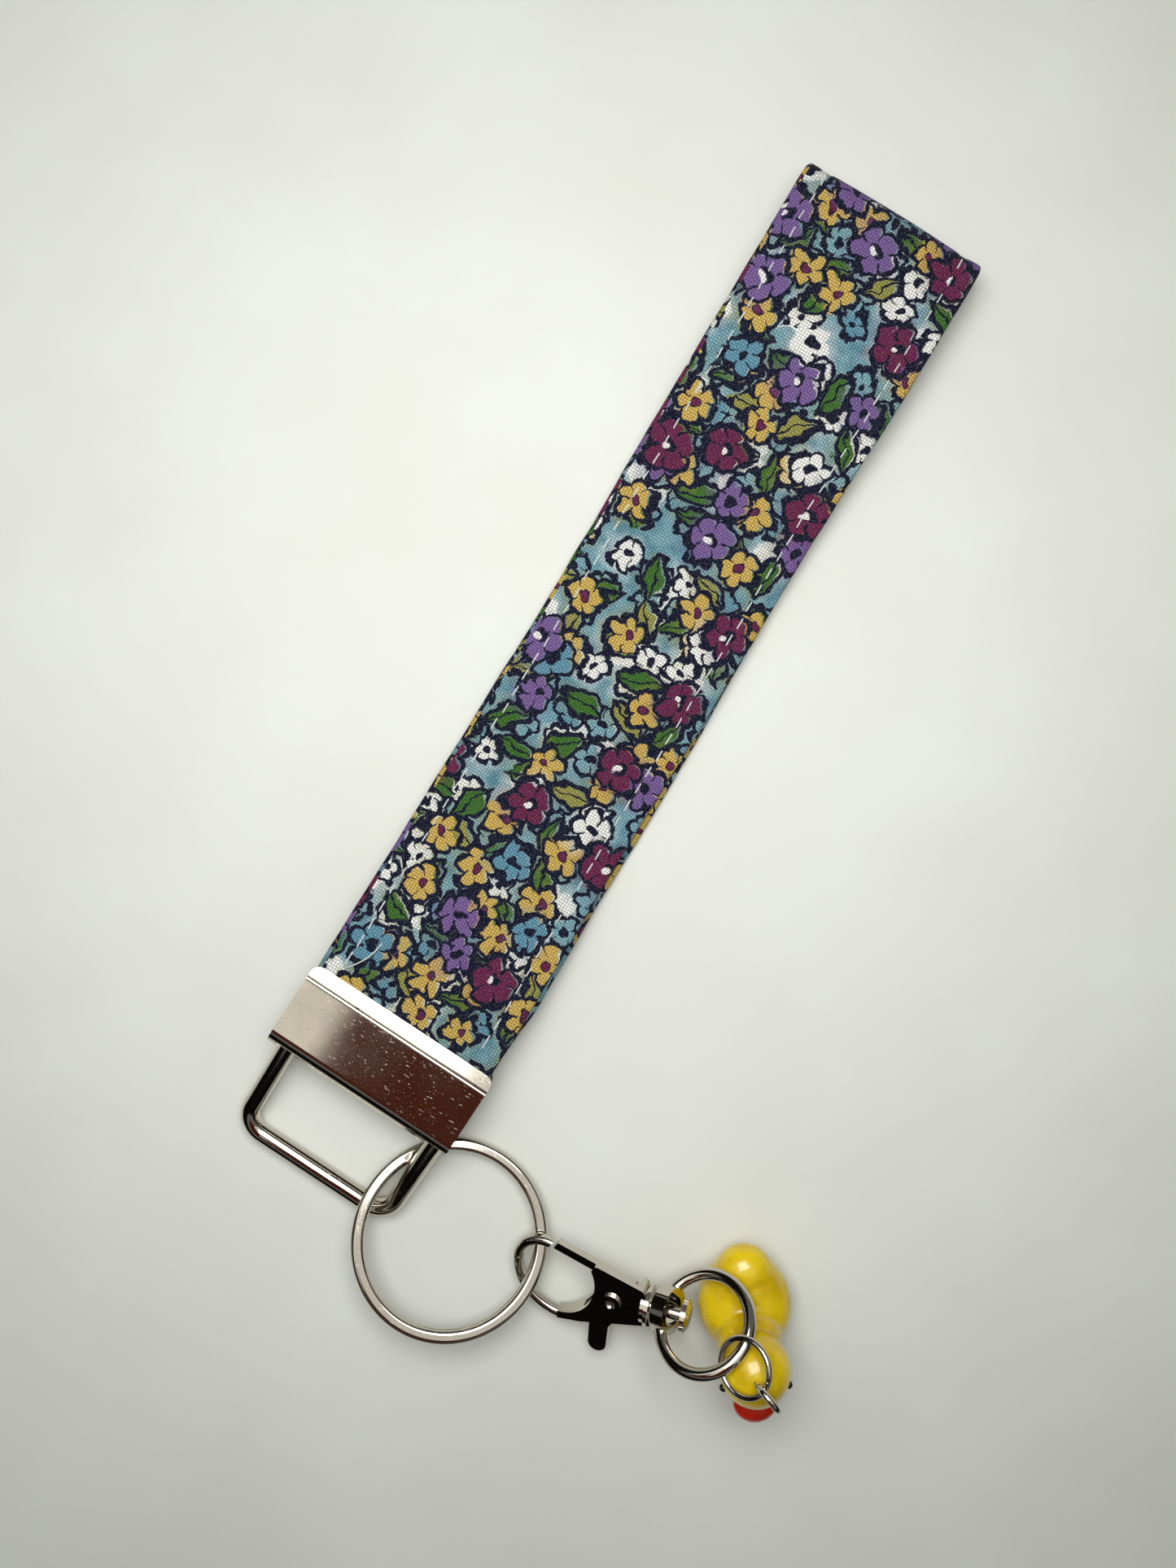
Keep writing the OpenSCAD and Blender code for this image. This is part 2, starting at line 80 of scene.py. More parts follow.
# Flowers or leaves, one in each cell of a loose grid. Lengths are in mm.
def flowerGroup():
    tree = bpy.data.node_groups.new("scatteredMotif", "ShaderNodeTree")
    tree.interface.new_socket("Place", in_out="INPUT", socket_type="NodeSocketVector")
    sizes = {"Cell": 9.0, "Radius": 3.6, "Petals": 5.0, "Lobe": 0.36, "Cover": 1.0, "Jitter": 0.55}
    for name, value in sizes.items():
        tree.interface.new_socket(name, in_out="INPUT", socket_type="NodeSocketFloat").default_value = value
    for name in ("Inside", "Random", "Middle", "Petal", "Leaf", "Across"):
        tree.interface.new_socket(name, in_out="OUTPUT", socket_type="NodeSocketFloat")
    given = node(tree, "NodeGroupInput").outputs
    flat = node(tree, vectors, {0: given["Place"], 1: (1, 1, 0)}, operation="MULTIPLY")
    inverse = node(tree, maths, (1.0, given["Cell"]), operation="DIVIDE")
    cells = node(tree, vectors, {0: flat, "Scale": inverse}, operation="SCALE")
    nearest = node(tree, "ShaderNodeTexVoronoi", {"Vector": cells, "Scale": 1.0, "Randomness": given["Jitter"]},
                   voronoi_dimensions="2D")
    away = node(tree, vectors, {0: cells, 1: nearest.outputs["Position"]}, operation="SUBTRACT")
    away = node(tree, vectors, {0: away, "Scale": given["Cell"]}, operation="SCALE")
    turning, growing, showing = node(tree, "ShaderNodeSeparateColor", [nearest.outputs["Color"]]).outputs
    turning = node(tree, maths, (turning, 2 * math.pi), operation="MULTIPLY")
    turned = node(tree, "ShaderNodeVectorRotate", {"Vector": away, "Angle": turning}, rotation_type="Z_AXIS")
    along, across, _ = node(tree, "ShaderNodeSeparateXYZ", [turned]).outputs
    size = node(tree, maths, (growing, 0.2, 0.84), operation="MULTIPLY_ADD")
    size = node(tree, maths, (given["Radius"], size), operation="MULTIPLY")
    showing = node(tree, maths, (showing, given["Cover"]), operation="LESS_THAN")
    # Petals are the humps of a cosine round the middle.
    angle = node(tree, maths, (across, along), operation="ARCTAN2")
    humps = node(tree, maths, (given["Petals"], 0.5), operation="MULTIPLY")
    humps = node(tree, maths, (angle, humps), operation="MULTIPLY")
    humps = node(tree, maths, (humps,), operation="COSINE")
    humps = node(tree, maths, (humps,), operation="ABSOLUTE")
    humps = node(tree, maths, (humps, 0.5), operation="POWER")
    least = node(tree, maths, (1.0, given["Lobe"]), operation="SUBTRACT")
    reach = node(tree, maths, (given["Lobe"], humps, least), operation="MULTIPLY_ADD")
    reach = node(tree, maths, (size, reach), operation="MULTIPLY")
    spot = node(tree, "ShaderNodeCombineXYZ", (along, across))
    far = node(tree, vectors, (spot,), operation="LENGTH").outputs["Value"]
    petals = node(tree, maths, (reach, far), operation="SUBTRACT")
    # A leaf is the space between two parabolas.
    share = node(tree, maths, (along, size), operation="DIVIDE")
    share = node(tree, maths, (share, share), operation="MULTIPLY")
    share = node(tree, maths, (1.0, share), operation="SUBTRACT")
    widest = node(tree, maths, (size, 0.46), operation="MULTIPLY")
    blade = node(tree, maths, (widest, share), operation="MULTIPLY")
    blade = node(tree, maths, (blade, node(tree, maths, (across,), operation="ABSOLUTE")), operation="SUBTRACT")
    # A cell left empty counts as 20 mm outside.
    shapes = []
    for shape in (petals, blade):
        shown = node(tree, maths, (shape, 20.0), operation="ADD")
        shapes.append(node(tree, maths, (shown, showing, -20.0), operation="MULTIPLY_ADD"))
    middle = node(tree, maths, (far, size), operation="DIVIDE")
    luck = node(tree, maths, (growing, 7.31), operation="MULTIPLY")
    luck = node(tree, maths, (luck,), operation="FRACT")
    node(tree, "NodeGroupOutput", {"Inside": shapes[0], "Random": luck, "Middle": middle, "Petal": humps,
                                   "Leaf": shapes[1], "Across": across})
    return tree


# Painted shade of the cloth: thread crowns painted lighter and the dips between them painted darker where warp and
# weft pass over each other in turn, with random slub tone along the yarn; and its height for the bump.
def paintedWeaveShade(tree, place):
    across, along, _ = node(tree, "ShaderNodeSeparateXYZ", [place]).outputs
    turn = math.pi / weave["pitch"]
    threads = []
    for way in (across, along):
        thread = node(tree, maths, (way, turn), operation="MULTIPLY")
        threads.append(node(tree, maths, (thread,), operation="SINE"))
    both = node(tree, maths, threads, operation="MULTIPLY")
    crown = node(tree, maths, (both,), operation="ABSOLUTE")
    over = node(tree, maths, (both, 0.0), operation="GREATER_THAN")
    stretched = node(tree, vectors, {0: place, 1: (6.0, 0.6, 1.0)}, operation="MULTIPLY")
    slub = node(tree, noises, {"Vector": stretched, "Scale": 0.8, "Detail": 2.0}, noise_dimensions="2D").outputs["Fac"]
    shade = node(tree, maths, (over, 0.12, 0.26), operation="MULTIPLY_ADD")
    shade = node(tree, maths, (crown, 0.72, shade), operation="MULTIPLY_ADD")
    shade = node(tree, maths, (slub, 0.16, shade), operation="MULTIPLY_ADD")
    return shade, node(tree, maths, (slub, 0.5, crown), operation="MULTIPLY_ADD")


# Plain-weave cotton with a scattered flower print, inked outlines and fills printed a little beside them.
def printedCotton():
    made, tree, shader = material("printedCotton")
    colour = {name: linear(code) for name, code in printed.items()}
    motif = flowerGroup()
    place = wavy = node(tree, "ShaderNodeUVMap", uv_map="clothMm")
    # The drawing wobbles like pen work, and bends more over longer distances.
    for scale, push in ((0.8, 0.8), (0.28, 2.2)):
        bend = node(tree, noises, {"Vector": place, "Scale": scale, "Detail": 1.0}, noise_dimensions="2D")
        away = node(tree, vectors, {0: bend.outputs["Color"], 1: (0.5, 0.5, 0.5)}, operation="SUBTRACT")
        away = node(tree, vectors, {0: away, "Scale": push}, operation="SCALE")
        wavy = node(tree, vectors, {0: wavy, 1: away}, operation="ADD")
    edgeNoise = node(tree, noises, {"Vector": place, "Scale": 3.0, "Detail": 2.0}, noise_dimensions="2D")
    shake = node(tree, maths, (edgeNoise.outputs["Fac"], 0.3, -0.15), operation="MULTIPLY_ADD")
    patch = node(tree, noises, {"Vector": place, "Scale": 0.35, "Detail": 2.0}, noise_dimensions="2D")
    patch = node(tree, mapper, {0: patch.outputs["Fac"], 1: 0.4, 2: 0.65})
    under = node(tree, mixer, {0: patch, 6: colour["ground"], 7: colour["shadow"]}, data_type="RGBA").outputs[2]
    # Layers from the back to the front: cell, radius, lobe, cover, offset, fills, kind.
    layers = (
        (12.6, 4.0, 0.34, 0.75, (2.2, 33.6, 0), ("white", "white", "white", "white"), "blot"),
        (6.3, 2.6, 0.36, 0.95, (3.1, 7.7, 0), ("ground", "blue", "ground", "white"), "inked"),
        (7.4, 3.6, 0.0, 0.90, (11.3, 2.9, 0), ("green", "green", "olive", "green"), "leaf"),
        (8.6, 3.1, 0.42, 0.72, (5.7, 21.1, 0), ("yellow", "yellow", "yellow", "yellow"), "plum"),
        (10.4, 3.3, 0.36, 0.60, (17.9, 13.3, 0), ("lilac", "lilac", "white", "blue"), "inked"),
        (12.6, 4.1, 0.34, 0.64, (27.9, 3.3, 0), ("plum", "plum", "plum", "lilac"), "white"),
    )
    halo = {"plum": colour["olive"], "leaf": colour["olive"]}
    ink = 0.0
    for cell, radius, lobe, cover, shift, fills, kind in layers:
        both = []
        for beside in ((0.0, 0.0, 0.0), (0.42, -0.3, 0.0)):
            spot = node(tree, vectors, {0: wavy, 1: tuple(a + b for a, b in zip(shift, beside))}, operation="ADD")
            both.append(node(tree, "ShaderNodeGroup", node_tree=motif))
            tree.links.new(spot.outputs[0], both[-1].inputs["Place"])
            for name, value in (("Cell", cell), ("Radius", radius), ("Lobe", lobe), ("Cover", cover)):
                both[-1].inputs[name].default_value = value
        line, fill = both[0].outputs, both[1].outputs
        edge = "Leaf" if kind == "leaf" else "Inside"
        inside = node(tree, maths, (line[edge], shake), operation="ADD")
        pick = node(tree, "ShaderNodeValToRGB", [fill["Random"]])
        pick.color_ramp.interpolation = "CONSTANT"
        stops = pick.color_ramp.elements
        while len(stops) < len(fills):
            stops.new(0.5)
        for i, name in enumerate(fills):
            stops[i].position, stops[i].color = i / 4, colour[name]
        # Dye bleeds into the ground round the fill, and the fill covers the lines behind it.
        bleed = node(tree, mapper, {0: fill[edge], 1: -1.9, 2: 0.3, 4: 0.42})
        under = node(tree, mixer, {0: bleed, 6: under, 7: halo.get(kind, pick)}, data_type="RGBA").outputs[2]
        filled = node(tree, maths, (fill[edge], shake), operation="ADD")
        filled = node(tree, mapper, {0: filled, 1: -0.05, 2: 0.1})
        under = node(tree, mixer, {0: filled, 6: under, 7: pick}, data_type="RGBA").outputs[2]
        behind = node(tree, mapper, {0: inside, 1: -0.3, 2: -0.2, 3: 1.0, 4: 0.0})
        ink = node(tree, maths, (ink, behind), operation="MULTIPLY")
        within = node(tree, mapper, {0: inside, 1: 0.0, 2: 0.1})
        outer = node(tree, mapper, {0: inside, 1: -0.56, 2: -0.46})
        inner = node(tree, mapper, {0: inside, 1: 0.24, 2: 0.34, 3: 1.0, 4: 0.0})
        outline = node(tree, maths, (outer, inner), operation="MULTIPLY")
        core = node(tree, mapper, {0: line["Middle"], 1: 0.25, 2: 0.31, 3: 1.0, 4: 0.0})
        core = node(tree, maths, (core, within), operation="MULTIPLY")
        pip = node(tree, mapper, {0: fill["Middle"], 1: 0.12, 2: 0.17, 3: 1.0, 4: 0.0})
        pip = node(tree, maths, (pip, within), operation="MULTIPLY")
        strokes = []
        if kind == "leaf":
            rib = node(tree, maths, (line["Across"],), operation="ABSOLUTE")
            rib = node(tree, mapper, {0: rib, 1: 0.12, 2: 0.2, 3: 1.0, 4: 0.0})
            strokes = [outline, node(tree, maths, (rib, within), operation="MULTIPLY")]
        elif kind == "blot":
            under = node(tree, mixer, {0: pip, 6: under, 7: colour["green"]}, data_type="RGBA").outputs[2]
            strokes = [core]
        else:
            # Dark lines part the petals, outside the middle only.
            parted = node(tree, mapper, {0: line["Petal"], 1: 0.34, 2: 0.5, 3: 1.0, 4: 0.0})
            outside = node(tree, mapper, {0: line["Middle"], 1: 0.38, 2: 0.46})
            parted = node(tree, maths, (parted, outside), operation="MULTIPLY")
            near = node(tree, mapper, {0: inside, 1: -0.4, 2: -0.3})
            strokes = [outline, node(tree, maths, (parted, near), operation="MULTIPLY")]
            if kind == "plum":
                under = node(tree, mixer, {0: core, 6: under, 7: colour["plum"]}, data_type="RGBA").outputs[2]
                hollow = node(tree, mapper, {0: line["Middle"], 1: 0.18, 2: 0.24})
                core = node(tree, maths, (core, hollow), operation="MULTIPLY")
            elif kind == "white":
                under = node(tree, mixer, {0: pip, 6: under, 7: colour["white"]}, data_type="RGBA").outputs[2]
                hollow = node(tree, mapper, {0: fill["Middle"], 1: 0.14, 2: 0.2})
                core = node(tree, maths, (core, hollow), operation="MULTIPLY")
            strokes.append(core)
        for stroke in strokes:
            ink = node(tree, maths, (ink, stroke), operation="MAXIMUM")
    cloth = node(tree, mixer, {0: ink, 6: under, 7: colour["ink"]}, data_type="RGBA").outputs[2]
    shade, height = paintedWeaveShade(tree, place)
    # The print is darkened by the painted weave shade between the threads and lightened on their crowns.
    printWithPaintedShade = node(tree, mixer, {0: 1.0, 6: cloth, 7: shade}, data_type="RGBA", blend_type="MULTIPLY").outputs[2]
    # Bare yarn shows between the threads here and there.
    bare = node(tree, noises, {"Vector": place, "Scale": 4.5, "Detail": 1.0}, noise_dimensions="2D")
    bare = node(tree, mapper, {0: bare.outputs["Fac"], 1: 0.6, 2: 0.74, 4: 0.12})
    printWithPaintedShade = node(tree, mixer, {0: bare, 6: printWithPaintedShade, 7: colour["bareYarn"]}, data_type="RGBA").outputs[2]
    tree.links.new(printWithPaintedShade, shader.inputs["Base Color"])
    shader.inputs["Roughness"].default_value = 0.86
    shader.inputs["Specular IOR Level"].default_value = 0.15
    shader.inputs["Sheen Weight"].default_value = 0.02
    shader.inputs["Sheen Roughness"].default_value = 0.5
    bump = node(tree, "ShaderNodeBump", {"Strength": 0.85, "Distance": weave["depth"] * mm, "Height": height})
    tree.links.new(bump.outputs[0], shader.inputs["Normal"])
    return made


metal = {"nickel": "#CBC4B8", "satin": "#D0C9BC", "spring": "#8D8C8A"}


# Nickel plating: base tone with faint tarnish, small pits and a few fine straight scratches.
def nickel(name, code, roughness, pits, scratches, tarnish):
    made, tree, shader = material(name)
    place = node(tree, coordinates).outputs["Object"]
    cloud = node(tree, noises, {"Vector": place, "Scale": 160.0, "Detail": 4.0})
    grain = node(tree, noises, {"Vector": place, "Scale": 4200.0, "Detail": 2.0})
    turned = node(tree, "ShaderNodeMapping", {0: place, 2: (0, 0, 0.7), 3: (700, 12000, 9000)})
    line = node(tree, noises, {"Vector": turned, "Scale": 1.0, "Detail": 0.0})
    fine = node(tree, mapper, {0: line, 1: 0.78, 2: 0.83, 4: scratches})
    pit = node(tree, mapper, {0: grain, 1: 0.66, 2: 0.8, 4: pits})
    base = linear(code)
    dark = (*(c * (1 - tarnish) for c in base[:3]), 1.0)
    stain = node(tree, mapper, {0: cloud, 1: 0.4, 2: 0.75})
    tone = node(tree, mixer, {0: stain, 6: base, 7: dark}, data_type="RGBA").outputs[2]
    tree.links.new(tone, shader.inputs["Base Color"])
    shader.inputs["Metallic"].default_value = 1.0
    rough = node(tree, maths, (cloud, 0.10, roughness - 0.05), operation="MULTIPLY_ADD")
    rough = node(tree, maths, (pit, 0.3, rough), operation="MULTIPLY_ADD")
    rough = node(tree, maths, (fine, 0.35, rough), operation="MULTIPLY_ADD")
    tree.links.new(rough.outputs[0], shader.inputs["Roughness"])
    marks = node(tree, maths, (pit, fine), operation="ADD")
    height = node(tree, maths, (0.0, marks), operation="SUBTRACT")
    bump = node(tree, "ShaderNodeBump", {"Strength": 0.35, "Distance": 0.02 * mm, "Height": height})
    tree.links.new(bump.outputs[0], shader.inputs["Normal"])
    return made


duck = {"origin": (66.91, -93.97), "heading": -56.0, "width": 14.4, "voxel": 0.24,
        "yellow": "#E2C40C", "shade": "#C09A04", "red": "#C4270F", "eye": "#0B0A0A"}


# Glossy enamel over cast resin, with pooled colour, brush unevenness and small nicks.
def enamel(name, light, shade, wear):
    made, tree, shader = material(name)
    place = node(tree, coordinates).outputs["Object"]
    cloud = node(tree, noises, {"Vector": place, "Scale": 210.0, "Detail": 3.0})
    speck = node(tree, noises, {"Vector": place, "Scale": 1500.0, "Detail": 1.0})
    pooled = node(tree, mapper, {0: cloud, 1: 0.35, 2: 0.75})
    tone = node(tree, mixer, {0: pooled, 6: linear(light), 7: linear(shade)}, data_type="RGBA").outputs[2]
    nick = node(tree, mapper, {0: speck, 1: 0.74, 2: 0.78, 4: wear})
    tone = node(tree, mixer, {0: nick, 6: tone, 7: linear("#6E5410")}, data_type="RGBA").outputs[2]
    tree.links.new(tone, shader.inputs["Base Color"])
    shader.inputs["Roughness"].default_value = 0.24
    shader.inputs["Coat Weight"].default_value = 0.3
    shader.inputs["Coat Roughness"].default_value = 0.08
    shader.inputs["Subsurface Weight"].default_value = 0.12
    shader.inputs["Subsurface Radius"].default_value = (0.8 * mm, 0.5 * mm, 0.2 * mm)
    bump = node(tree, "ShaderNodeBump", {"Strength": 0.35, "Distance": 0.08 * mm, "Height": cloud})
    tree.links.new(bump.outputs[0], shader.inputs["Normal"])
    return made


# Twisted sewing thread: fine diagonal plies along its own length, with painted shade in the grooves between the plies.
def thread(name, code):
    made, tree, shader = material(name)
    place = node(tree, coordinates).outputs["Object"]
    ply = node(tree, "ShaderNodeTexWave", {"Vector": place, "Scale": 900.0, "Distortion": 1.5},
               bands_direction="DIAGONAL")
    # Painted shade for the grooves between the plies.
    paintedPlyShade = (*(c * 0.72 for c in linear(code)[:3]), 1.0)
    between = node(tree, mapper, {0: ply, 1: 0.0, 2: 0.6})
    tone = node(tree, mixer, {0: between, 6: paintedPlyShade, 7: linear(code)}, data_type="RGBA").outputs[2]
    tree.links.new(tone, shader.inputs["Base Color"])
    shader.inputs["Roughness"].default_value = 0.6
    shader.inputs["Sheen Weight"].default_value = 0.3
    bump = node(tree, "ShaderNodeBump", {"Strength": 0.6, "Distance": 0.04 * mm, "Height": ply})
    tree.links.new(bump.outputs[0], shader.inputs["Normal"])
    return made


# Pale matt board under the keychain, with a very faint mottle.
def floorPaint():
    made, tree, shader = material("paleBoard")
    place = node(tree, coordinates).outputs["Object"]
    cloud = node(tree, noises, {"Vector": place, "Scale": 30.0, "Detail": 5.0})
    between = node(tree, mapper, {0: cloud, 1: 0.3, 2: 0.7})
    tone = node(tree, mixer, {0: between, 6: linear("#DADBD3"), 7: linear("#E0E2DB")}, data_type="RGBA").outputs[2]
    tree.links.new(tone, shader.inputs["Base Color"])
    shader.inputs["Roughness"].default_value = 0.75
    return made


cotton = printedCotton()
sewingThread = thread("sewingThread", "#D2D4D0")  # undyed cotton thread, a little dulled
interfacing = thread("interfacing", "#EFEEE8")  # stiff woven strip inside the cover
clampNickel = nickel("pittedNickel", metal["satin"], 0.1, 0.8, 0.5, 0.12)  # stamped sheet, plated and handled
brightNickel = nickel("polishedNickel", metal["nickel"], 0.08, 0.25, 0.35, 0.10)  # plated wire and castings
springSteel = nickel("springSteel", metal["spring"], 0.35, 0.2, 0.2, 0.3)  # bare wire of the gate spring
yellowEnamel = enamel("yellowEnamel", duck["yellow"], duck["shade"], 0.5)
redEnamel = enamel("redEnamel", duck["red"], "#8E1608", 0.3)
blackEnamel = enamel("blackEnamel", duck["eye"], "#050505", 0.0)
print("materials")


def meshObject(name, points, faces, look, smooth=True):
    mesh = bpy.data.meshes.new(name)
    mesh.from_pydata([tuple(c * mm for c in p) for p in points], [], faces)
    mesh.update()
    made = bpy.data.objects.new(name, mesh)
    bpy.context.scene.collection.objects.link(made)
    if look is not None:
        mesh.materials.append(look)
    mesh.polygons.foreach_set("use_smooth", [smooth] * len(mesh.polygons))
    return made


# The object's evaluated mesh as a new plain object, in place of the old one.
def baked(obj, name):
    graph = bpy.context.evaluated_depsgraph_get()
    mesh = bpy.data.meshes.new_from_object(obj.evaluated_get(graph))
    mesh.name = name
    made = bpy.data.objects.new(name, mesh)
    bpy.context.scene.collection.objects.link(made)
    bpy.data.objects.remove(obj)
    return made


# Points and faces of a round tube along a line, closed at both ends.
def tube(line, radius, sides=10):
    points, faces = [], []
    side = Vector((1, 0, 0))
    for i, p in enumerate(line):
        way = (Vector(line[min(i + 1, len(line) - 1)]) - Vector(line[max(i - 1, 0)])).normalized()
        side = (side - way * side.dot(way)).normalized()
        up = way.cross(side)
        small = 0.55 if i in (0, len(line) - 1) else 1
        for k in range(sides):
            a = 2 * math.pi * k / sides
            points.append(Vector(p) + (side * math.cos(a) + up * math.sin(a)) * radius * small)
    for i in range(len(line) - 1):
        for k in range(sides):
            n = (k + 1) % sides
            faces.append((i * sides + k, i * sides + n, (i + 1) * sides + n, (i + 1) * sides + k))
    faces.append(tuple(reversed(range(sides))))
    faces.append(tuple((len(line) - 1) * sides + k for k in range(sides)))
    return points, faces


# Lengths in mm. The clamp's centre is clampY along and clampZ above the board.
strap = {"width": 31.0, "thickness": 1.5, "length": 150.5, "foldRadius": 4.3, "clampY": -90.0,
         "clampZ": 7.4, "start": -2.49, "puff": 0.16, "ripple": 0.10, "grooveDepth": 0.3,
         "grooveWidth": 0.7, "lowerShift": 0.9, "lowerFalls": (8, 46), "upperFalls": (8, 50),
         "foldRises": (86, 137.2)}
stitch = {"inset": 3.4, "pitch": 3.0, "gap": 0.55, "threadRadius": 0.12, "wander": 0.12}
half = strap["thickness"] / 2
lowRest, foldY = half, strap["length"] - strap["foldRadius"]
foldMiddle = strap["foldRadius"] - half
lowClamp, highClamp = strap["clampZ"] - half - 0.02, strap["clampZ"] + half + 0.02
highRest, highFold = 3 * half + 0.3, lowRest + 2 * foldMiddle


def ease(t, a, b):
    t = min(max((t - a) / (b - a), 0), 1)
    return (1 - math.cos(math.pi * t)) / 2


# Middle line of the strap as (y, z), from the lower end round the fold to the upper end.
def strapLine(step):
    count = int((foldY - strap["start"]) / step)
    rows = [strap["start"] + (foldY - strap["start"]) * i / count for i in range(count + 1)]
    low = [(y, lowClamp + (lowRest - lowClamp) * ease(y, *strap["lowerFalls"])) for y in rows]
    turns = [(foldY + foldMiddle * math.cos(a), lowRest + foldMiddle * (1 + math.sin(a)))
             for a in (math.radians(-90 + 180 * i / 24) for i in range(1, 24))]
    high = [(y, highClamp + (highRest - highClamp) * ease(y, *strap["upperFalls"])
             + (highFold - highRest) * ease(y, *strap["foldRises"])) for y in reversed(rows)]
    return [Vector((0, strap["clampY"] + y, z)) for y, z in low + turns + high]


line = strapLine(0.6)
ways = [(line[min(i + 1, len(line) - 1)] - line[max(i - 1, 0)]).normalized() for i in range(len(line))]
outs = [Vector((0, w.z, -w.y)) for w in ways]
lengths = [0.0]
for i in range(1, len(line)):
    lengths.append(lengths[-1] + (line[i] - line[i - 1]).length)
total = lengths[-1]
grooveX = strap["width"] / 2 - stitch["inset"]
rng = random.Random(7)
waves = [(rng.uniform(0.12, 0.5), rng.uniform(0.25, 0.9), rng.uniform(0, 6.28), rng.uniform(0.4, 1.0))
         for _ in range(9)]


def ripple(x, s):
    return sum(k * math.sin(a * x + b * s + c) for a, b, c, k in waves) / 4


# How far a face of the cloth stands out at x across and s along, in mm.
def clothDepth(x, s):
    free = min(max((s - 11) / 8, 0), 1) * min(max((total - 11 - s) / 8, 0), 1)
    groove = math.exp(-((abs(x) - grooveX) / strap["grooveWidth"]) ** 2)
    dimple = 0.75 + 0.25 * math.cos(2 * math.pi * (s - 12) / stitch["pitch"])
    pad = 1 - (min(abs(x), grooveX) / grooveX) ** 4
    raised = strap["puff"] * pad * 0.6 + strap["ripple"] * ripple(x, s)
    return free * (raised - strap["grooveDepth"] * groove * dimple)


# The lower layer lies a little to one side near the clamp, and both edges wander slightly.
def sideShift(s):
    shift = strap["lowerShift"] * (1 - ease(s, 40, 110)) * ease(s, 9, 22)
    return shift + 0.12 * math.sin(0.11 * s + 1) * min(1, s / 20, (total - s) / 20)


# Cloth skin of the strap, with its pattern laid out in mm on the clothMm map.
def buildStrap():
    edge = half * 0.92
    flat = strap["width"] / 2 - edge
    columns, arcSteps = 40, 8
    xs = [flat * (2 * k / columns - 1) for k in range(columns + 1)]
    arc = [math.radians(90 - 180 * k / arcSteps) for k in range(1, arcSteps)]
    ring = [(x, 1, False) for x in xs]
    ring += [(flat + edge * math.cos(a), math.sin(a), True) for a in arc]
    ring += [(x, -1, False) for x in reversed(xs)]
    ring += [(-flat - edge * math.cos(a), -math.sin(a), True) for a in arc]
    around = [0.0]
    for k in range(1, len(ring) + 1):
        a, b = ring[k - 1], ring[k % len(ring)]
        around.append(around[-1] + math.hypot(b[0] - a[0], (b[1] - a[1]) * half))
    points, faces = [], []
    for i, s in enumerate(lengths):
        for x, up, onEdge in ring:
            if onEdge:
                seam = 0.22 * math.exp(-(up / 0.22) ** 2) if x > 0 else 0.0  # the cover's seam runs along one edge
                offset = up * half
                shift = -seam + 0.08 * ripple(x, s)
            else:
                offset = up * (half + clothDepth(x, s) * (1.0 if up > 0 else 0.55))
                shift = 0.0
            p = line[i] + outs[i] * offset
            points.append((x + shift + sideShift(s), p.y, p.z))
    n = len(ring)
    for i in range(len(lengths) - 1):
        for k in range(n):
            faces.append((i * n + k, i * n + (k + 1) % n, (i + 1) * n + (k + 1) % n, (i + 1) * n + k))
    faces.append(tuple(reversed(range(n))))
    faces.append(tuple((len(lengths) - 1) * n + k for k in range(n)))
    made = meshObject("strapCloth", points, faces, cotton)
    layer = made.data.uv_layers.new(name="clothMm")
    for face in made.data.polygons[:-2]:
        for corner, vertex in zip(face.loop_indices, face.vertices):
            k, i = vertex % n, vertex // n
            u = around[-1] if k == 0 and any(v % n == n - 1 for v in face.vertices) else around[k]
            layer.data[corner].uv = (u, lengths[i])
    bm = bmesh.new()
    bm.from_mesh(made.data)
    bmesh.ops.recalc_face_normals(bm, faces=bm.faces)
    bm.to_mesh(made.data)
    bm.free()
    return made


strapCloth = buildStrap()
print("strap", len(strapCloth.data.polygons))


# Puts one stitch on each guide point, turned along the row and out of the cloth.
def stitchTree():
    tree = bpy.data.node_groups.new("stitchRow", "GeometryNodeTree")
    tree.interface.new_socket("Geometry", in_out="INPUT", socket_type="NodeSocketGeometry")
    tree.interface.new_socket("Stitch", in_out="INPUT", socket_type="NodeSocketObject")
    tree.interface.new_socket("Gauge", in_out="INPUT", socket_type="NodeSocketFloat")
    tree.interface.new_socket("Thread", in_out="INPUT", socket_type="NodeSocketMaterial")
    tree.interface.new_socket("Geometry", in_out="OUTPUT", socket_type="NodeSocketGeometry")
    given = node(tree, "NodeGroupInput").outputs
    points = node(tree, "GeometryNodeMeshToPoints", {"Mesh": given["Geometry"]})
    out = node(tree, "GeometryNodeInputNamedAttribute", {"Name": "out"}, data_type="FLOAT_VECTOR")
    along = node(tree, "GeometryNodeInputNamedAttribute", {"Name": "along"}, data_type="FLOAT_VECTOR")
    turn = node(tree, "FunctionNodeAlignRotationToVector", {"Vector": out.outputs[0]}, axis="Z")
    turn = node(tree, "FunctionNodeAlignRotationToVector", {"Rotation": turn, "Vector": along.outputs[0]},
                axis="Y", pivot_axis="Z")
    shape = node(tree, "GeometryNodeObjectInfo", {"Object": given["Stitch"]})
    size = node(tree, "FunctionNodeRandomValue", {2: 0.9, 3: 1.1, "Seed": 5}, data_type="FLOAT")
    size = node(tree, maths, [size.outputs[1], given["Gauge"]], operation="MULTIPLY")
    put = node(tree, "GeometryNodeInstanceOnPoints", {"Points": points, "Instance": shape.outputs["Geometry"],
                                                      "Rotation": turn, "Scale": size})
    real = node(tree, "GeometryNodeRealizeInstances", [put])
    coat = node(tree, "GeometryNodeSetMaterial", {"Geometry": real, "Material": given["Thread"]})
    node(tree, "NodeGroupOutput", [coat])
    return tree


